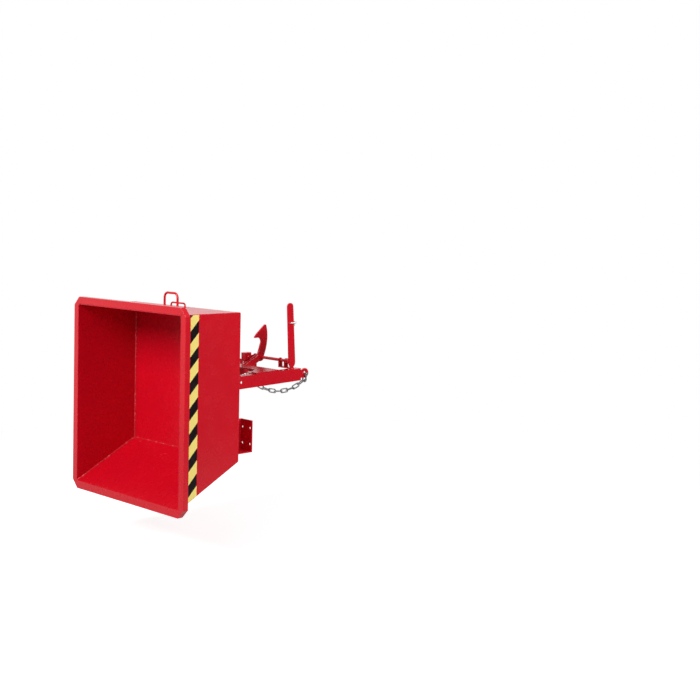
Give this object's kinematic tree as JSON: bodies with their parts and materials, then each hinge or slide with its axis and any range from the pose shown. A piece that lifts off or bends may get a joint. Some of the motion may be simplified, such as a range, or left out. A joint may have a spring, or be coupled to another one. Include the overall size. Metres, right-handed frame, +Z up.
{
  "type": "self dumping hopper",
  "caption": "Tipping bucket on a fork-carried frame, with a hand-lever release hook, counterweight, safety chain and pull rope, shown tipped.",
  "frame": {"origin": "underside of the middle cross plate, midway between the side rails and midway along the plate's seams on them", "axes": "+X the way the bucket tips, +Y its left side, where the hand lever stands, +Z up, with the frame level as on the forks"},
  "size_m": [0.9989, 0.94, 1.0351],
  "materials": {
    "red_enamel": "glossy red enamel on steel",
    "zinc": "bright zinc plating",
    "rubber": "matt black rubber",
    "warning_strip": "yellow and black striped tape",
    "rope": "white braided rope"
  },
  "bodies": {
    "frame": {"rail_left": "red_enamel", "rail_right": "red_enamel", "hinge_pin_left": "zinc", "hinge_pin_right": "zinc", "split_pin_left": "zinc", "split_pin_right": "zinc", "middle_cross_plate": "red_enamel", "front_cross_bar": "red_enamel", "front_bottom_strap": "red_enamel", "rear_bottom_strap": "red_enamel", "fork_seat_left": "red_enamel", "fork_seat_right": "red_enamel", "rest_buffer_left": "rubber", "rest_buffer_right": "rubber", "rear_lug_left": "red_enamel", "rear_lug_right": "red_enamel", "hook_cheek_left": "red_enamel", "hook_cheek_right": "red_enamel", "shaft_bracket": "red_enamel", "counterweight_stop": "red_enamel", "shackle_bow": "zinc", "shackle_pin": "zinc", "chain_hook": "zinc", "chain_link_01": "zinc", "chain_link_02": "zinc", "chain_link_03": "zinc", "chain_link_04": "zinc", "chain_link_05": "zinc", "chain_link_06": "zinc", "chain_link_07": "zinc", "chain_link_08": "zinc", "chain_link_09": "zinc", "chain_link_10": "zinc", "chain_link_11": "zinc"},
    "bucket": {"tub_wrapper": "red_enamel", "side_wall_left": "red_enamel", "side_wall_right": "red_enamel", "rim_bar_left": "red_enamel", "rim_bar_right": "red_enamel", "rim_bar_rear": "red_enamel", "rim_bar_front": "red_enamel", "warning_strip_left": "warning_strip", "warning_strip_right": "warning_strip", "catch_loop": "red_enamel", "lashing_loop": "red_enamel", "foot_plate_left": "red_enamel", "foot_plate_right": "red_enamel", "hinge_lug_outer_left": "red_enamel", "hinge_lug_outer_right": "red_enamel", "hinge_lug_inner_left": "red_enamel", "hinge_lug_inner_right": "red_enamel"},
    "release": {"release_shaft": "red_enamel", "release_hook": "red_enamel", "release_lever": "red_enamel", "counterweight_arm": "red_enamel", "counterweight_block": "red_enamel", "counterweight_bolt": "red_enamel", "rope_knot": "rope", "rope_run": "rope", "rope_hank": "rope"}
  },
  "joints": [
    {"name": "bucket_tip", "type": "hinge", "parent": "frame", "child": "bucket", "pos_m": [0.265, 0, -0.025], "axis": [0, 1, 0], "range_deg": [-88.25, 0]},
    {"name": "release_pull", "type": "hinge", "parent": "frame", "child": "release", "pos_m": [-0.188, 0, 0.038], "axis": [0, 1, 0], "range_deg": [-30, 0]}
  ]
}
